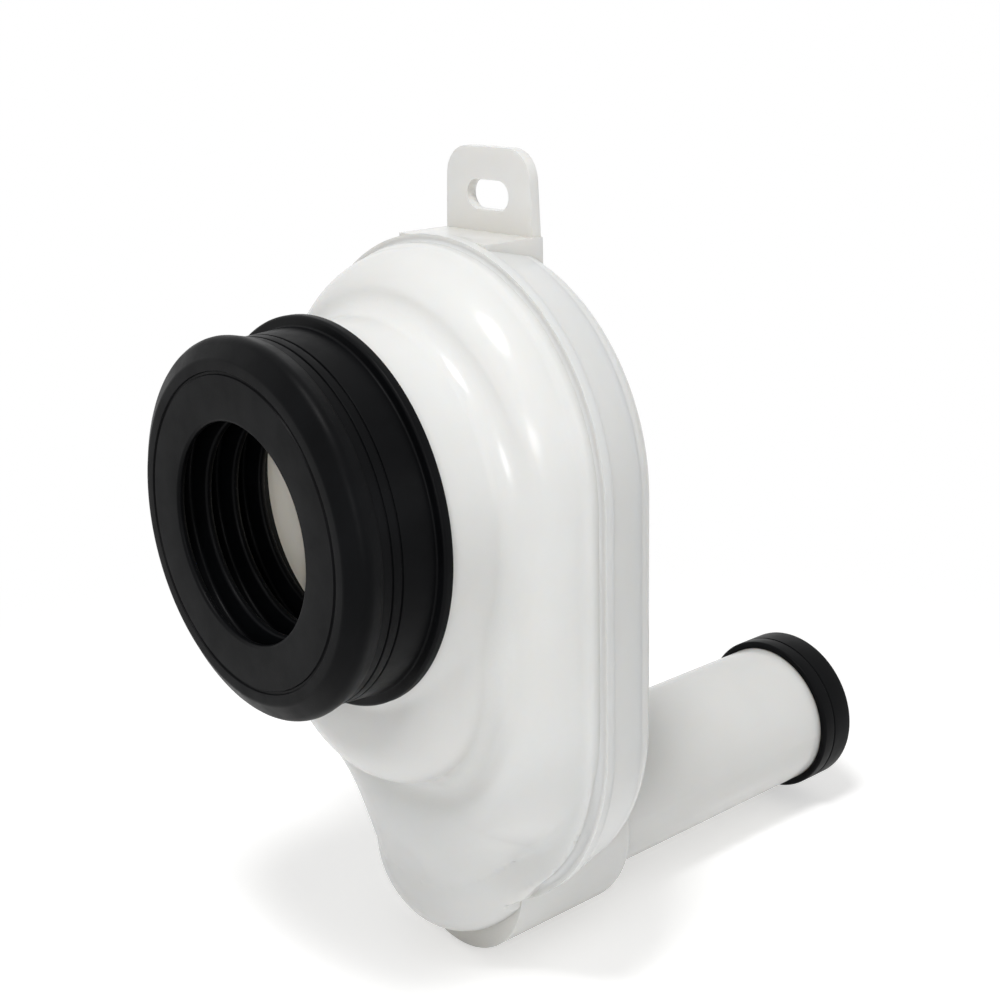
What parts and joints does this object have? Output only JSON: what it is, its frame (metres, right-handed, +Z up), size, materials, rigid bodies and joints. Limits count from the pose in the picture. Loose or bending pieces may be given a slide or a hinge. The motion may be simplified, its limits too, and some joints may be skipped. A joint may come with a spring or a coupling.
{
  "type": "urinal trap",
  "caption": "Flat bottle-shaped urinal trap of white plastic: ribbed rubber inlet sleeve in front, slotted fixing lug on top, horizontal outlet spigot with rubber ring low at the back.",
  "frame": {"origin": "centre of the inlet's mouth, on the front face of the rubber sleeve", "axes": "+Z up, +Y from the inlet towards the back, along the outlet spigot; +X across, and the part is symmetric about X = 0"},
  "size_m": [0.136, 0.234, 0.2467],
  "materials": {
    "shell": "smooth glossy moulding",
    "seal": "satin moulded rubber"
  },
  "bodies": {
    "root": {"front_shell": "shell", "rear_shell": "shell", "inlet_seal": "seal", "outlet_ring": "seal", "trap_baffle": "shell"}
  },
  "joints": []
}
